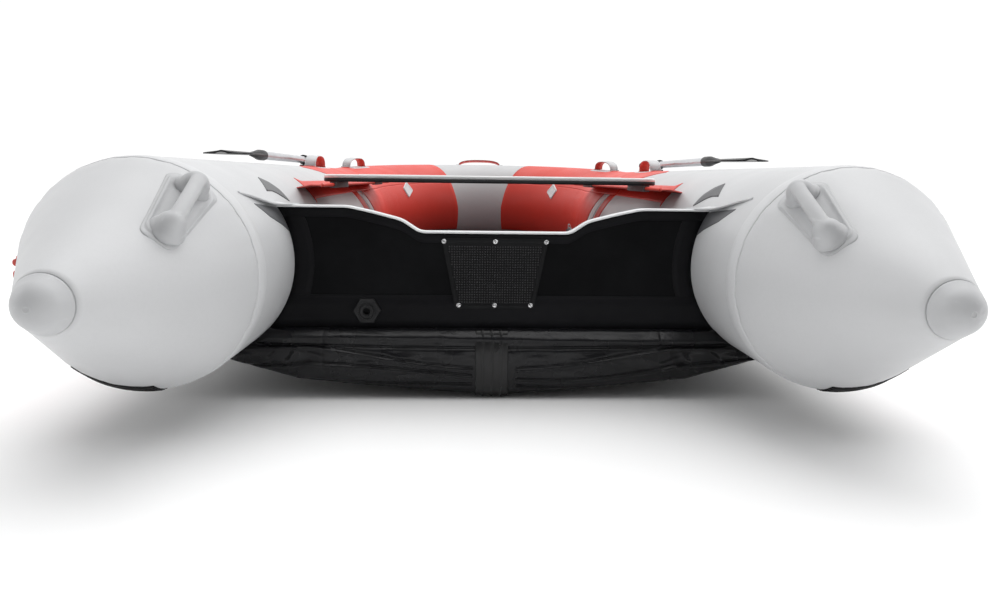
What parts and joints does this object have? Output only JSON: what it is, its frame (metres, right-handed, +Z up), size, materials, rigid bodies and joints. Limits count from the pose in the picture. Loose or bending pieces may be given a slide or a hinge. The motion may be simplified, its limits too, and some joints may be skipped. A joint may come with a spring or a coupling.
{
  "type": "inflatable dinghy",
  "caption": "Inflatable dinghy with two grey side tubes ending in cones, a black transom with a motor plate, sliding bench seats, an air deck and stowed oars.",
  "frame": {"origin": "on the ground under the middle of the boat's overall length and beam", "axes": "+Y towards the bow, +X to starboard, +Z up"},
  "size_m": [1.834, 3.7012, 0.626],
  "materials": {
    "light_fabric": "coated fabric, satin, fine weave",
    "light_moulding": "moulded, satin",
    "black_fabric": "coated fabric, satin, creased",
    "black_rubber": "ribbed, matt",
    "black_plastic": "moulded, fine texture",
    "coated_plywood": "black coating, matt",
    "deck_fabric": "drop stitch deck, matt",
    "red_rubber": "ribbed, satin",
    "red_fabric": "coated fabric, satin",
    "seat_laminate": "laminate with a pale edge",
    "grey_plastic": "moulded, matt",
    "aluminium": "anodised",
    "stainless": "polished"
  },
  "bodies": {
    "hull": {"air_deck_side_band": "deck_fabric", "air_deck_skins": "deck_fabric", "bow_handle": "light_moulding", "bow_tabs": "light_moulding", "chamber_baffles": "light_fabric", "cone_cap_port": "light_moulding", "cone_cap_starboard": "light_moulding", "cone_handle_pads": "light_moulding", "cone_handle_port": "light_moulding", "cone_handle_starboard": "light_moulding", "drain_body": "black_plastic", "drain_nut": "black_plastic", "grab_handle_patches": "light_fabric", "grab_handles_port": "light_moulding", "grab_handles_starboard": "light_moulding", "hull_bottom": "black_fabric", "hull_end_roll": "black_fabric", "keel_strake": "black_rubber", "keel_tube": "black_fabric", "motor_plate_inner": "black_plastic", "motor_plate_outer": "black_plastic", "motor_plate_screws": "stainless", "oarlock_bases": "black_rubber", "rub_strake_bow": "red_rubber", "rub_strake_sides": "red_rubber", "seam_tapes": "light_fabric", "seat_rail_port": "red_fabric", "seat_rail_starboard": "red_fabric", "stern_cone_port": "light_fabric", "stern_cone_starboard": "light_fabric", "tow_patch": "light_moulding", "transom_board": "coated_plywood", "transom_cap_strip": "light_moulding", "transom_gussets": "light_fabric", "tube_bow": "light_fabric", "tube_port": "light_fabric", "tube_starboard": "light_fabric", "valve_body_bow": "light_moulding", "valve_body_port": "light_moulding", "valve_body_starboard": "light_moulding", "wear_strips": "black_rubber"},
    "seat_aft": {"seat_board_aft": "seat_laminate", "seat_tracks_aft": "grey_plastic"},
    "seat_forward": {"seat_board_forward": "seat_laminate", "seat_tracks_forward": "grey_plastic"},
    "oar_port": {"oar_shaft_port": "aluminium", "oar_blade_port": "black_plastic", "oarlock_port": "black_plastic"},
    "oar_starboard": {"oar_shaft_starboard": "aluminium", "oar_blade_starboard": "black_plastic", "oarlock_starboard": "black_plastic"},
    "tow_ring": {"tow_ring": "stainless"},
    "drain_plug": {"drain_plug": "black_rubber"},
    "valve_cap_port": {"valve_cap_port": "light_moulding"},
    "valve_pin_port": {"valve_pin_port": "black_plastic"},
    "valve_cap_starboard": {"valve_cap_starboard": "light_moulding"},
    "valve_pin_starboard": {"valve_pin_starboard": "black_plastic"},
    "valve_cap_bow": {"valve_cap_bow": "light_moulding"},
    "valve_pin_bow": {"valve_pin_bow": "black_plastic"}
  },
  "joints": [
    {"name": "seat_aft_slide", "type": "slide", "parent": "hull", "child": "seat_aft", "axis": [0, 1, 0], "range_m": [-0.2, 0.4]},
    {"name": "seat_forward_slide", "type": "slide", "parent": "hull", "child": "seat_forward", "axis": [0, 1, 0], "range_m": [-0.2, 0.25]},
    {"name": "oar_port_swing", "type": "hinge", "parent": "hull", "child": "oar_port", "pos_m": [-0.75, 0.34832, 0.57118], "axis": [0, 0, 1], "range_deg": [-110, 0]},
    {"name": "oar_starboard_swing", "type": "hinge", "parent": "hull", "child": "oar_starboard", "pos_m": [0.75, 0.34832, 0.57118], "axis": [0, 0, 1], "range_deg": [0, 110]},
    {"name": "tow_ring_swing", "type": "hinge", "parent": "hull", "child": "tow_ring", "pos_m": [0, 1.83147, 0.26077], "axis": [1, 0, 0], "range_deg": [0, 110]},
    {"name": "drain_plug_pull", "type": "slide", "parent": "hull", "child": "drain_plug", "axis": [0, 1, 0], "range_m": [0, 0.045]},
    {"name": "valve_cap_port_twist", "type": "hinge", "parent": "hull", "child": "valve_cap_port", "pos_m": [-0.455, -0.45168, 0.31518], "axis": [1, 0, 0], "range_deg": [0, 90]},
    {"name": "valve_pin_port_push", "type": "slide", "parent": "hull", "child": "valve_pin_port", "axis": [-1, 0, 0], "range_m": [0, 0.004], "stiffness_N_per_m": 400},
    {"name": "valve_cap_starboard_twist", "type": "hinge", "parent": "hull", "child": "valve_cap_starboard", "pos_m": [0.455, -0.45168, 0.31518], "axis": [-1, 0, 0], "range_deg": [0, 90]},
    {"name": "valve_pin_starboard_push", "type": "slide", "parent": "hull", "child": "valve_pin_starboard", "axis": [1, 0, 0], "range_m": [0, 0.004], "stiffness_N_per_m": 400},
    {"name": "valve_cap_bow_twist", "type": "hinge", "parent": "hull", "child": "valve_cap_bow", "pos_m": [0.45784, 0.891, 0.23801], "axis": [-0.9131, -0.1438, -0.3815], "range_deg": [0, 90]},
    {"name": "valve_pin_bow_push", "type": "slide", "parent": "hull", "child": "valve_pin_bow", "axis": [0.9131, 0.1438, 0.3815], "range_m": [0, 0.004], "stiffness_N_per_m": 400}
  ]
}
